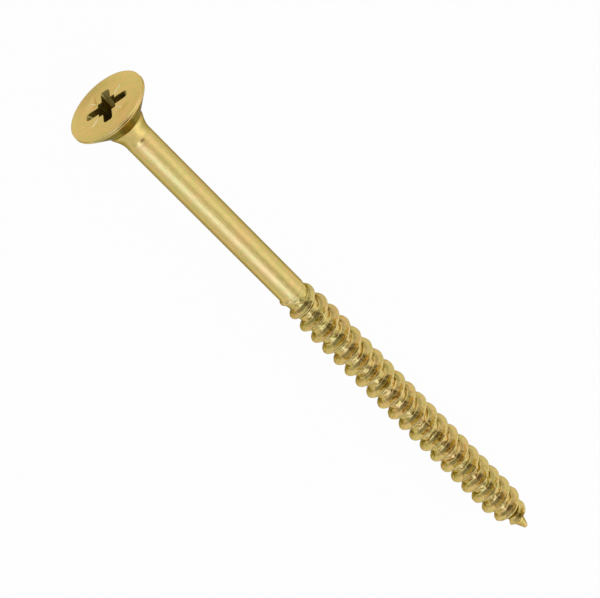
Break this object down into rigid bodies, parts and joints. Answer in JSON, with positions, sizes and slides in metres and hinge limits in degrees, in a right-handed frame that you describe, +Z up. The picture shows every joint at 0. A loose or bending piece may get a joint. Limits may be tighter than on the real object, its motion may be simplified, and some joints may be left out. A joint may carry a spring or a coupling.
{
  "type": "chipboard screw",
  "caption": "Countersunk chipboard screw with a cross recess, a plain shank and a coarse sharp-pointed thread, in yellow-passivated zinc-plated steel.",
  "frame": {"origin": "centre of the resting footprint, on the surface that the screw lies on", "axes": "+X from the head towards the point, +Z up; the screw's own axis dips 1.9 degrees from +X, because rim and thread both touch the surface"},
  "size_m": [0.0701, 0.0082, 0.0082],
  "materials": {
    "yellow_zinc": "zinc-plated steel with a yellow iridescent passivation, fine drawn streaks along the shank"
  },
  "bodies": {
    "root": {"screw": "yellow_zinc"}
  },
  "joints": []
}
